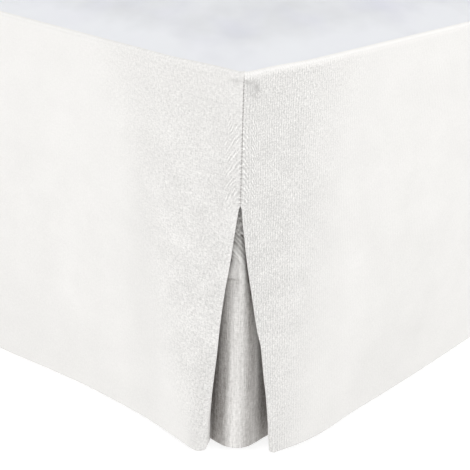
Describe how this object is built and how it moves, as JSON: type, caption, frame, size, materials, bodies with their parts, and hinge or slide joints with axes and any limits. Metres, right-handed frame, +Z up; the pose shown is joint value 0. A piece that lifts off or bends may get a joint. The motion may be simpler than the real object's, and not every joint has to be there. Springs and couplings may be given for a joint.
{
  "type": "bed skirt on a box spring and bed frame",
  "caption": "Tailored bed skirt with split foot corners over inserts, hanging from a flat deck on a plain box spring and frame.",
  "frame": {"origin": "on the floor under the middle of the box around the whole bed", "axes": "+Z up, +Y from the foot of the bed to its open head end, +X to the bed's right side as seen from the foot"},
  "size_m": [1.5612, 2.0508, 0.389],
  "materials": {
    "linen": "off-white plain weave with slubs, matt",
    "deck_cloth": "smooth, cool pale sheeting",
    "ticking": "plain matt ticking",
    "steel": "black powder coat"
  },
  "bodies": {
    "root": {"deck": "deck_cloth", "foot_drop": "linen", "side_drop_left": "linen", "side_drop_right": "linen", "corner_insert_left": "linen", "corner_insert_right": "linen", "box_spring": "ticking", "side_rail_left": "steel", "side_rail_right": "steel", "cross_rail_foot": "steel", "cross_rail_middle": "steel", "cross_rail_head": "steel", "leg_foot_left": "steel", "leg_foot_right": "steel", "leg_middle_left": "steel", "leg_middle_right": "steel", "leg_head_left": "steel", "leg_head_right": "steel", "leg_centre": "steel"}
  },
  "joints": []
}
